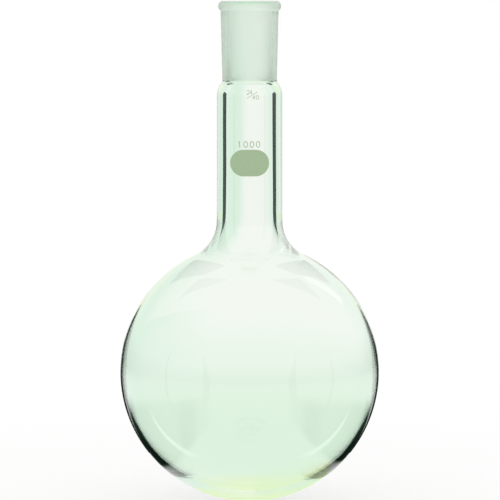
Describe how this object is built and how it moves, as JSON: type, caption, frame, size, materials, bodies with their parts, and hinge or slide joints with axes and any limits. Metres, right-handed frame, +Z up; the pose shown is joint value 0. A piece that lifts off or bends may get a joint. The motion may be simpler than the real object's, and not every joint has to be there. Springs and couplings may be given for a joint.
{
  "type": "round-bottom flask",
  "caption": "Round-bottom boiling flask of clear glass with a long straight neck, a ground taper socket with a rolled lip, and an oval enamel writing spot.",
  "frame": {"origin": "lowest point of the bulb, on the axis", "axes": "+Z up along the axis, from the bulb to the mouth; -Y is the front, with the marking spot"},
  "size_m": [0.13, 0.13, 0.2509],
  "materials": {
    "clear_glass": "clear borosilicate, fire-polished, with a faint green tint; ground inside the socket",
    "enamel": "grey-green fired enamel, slightly matt so that a pencil marks it"
  },
  "bodies": {
    "root": {"flask": "clear_glass", "marking_spot": "enamel"}
  },
  "joints": []
}
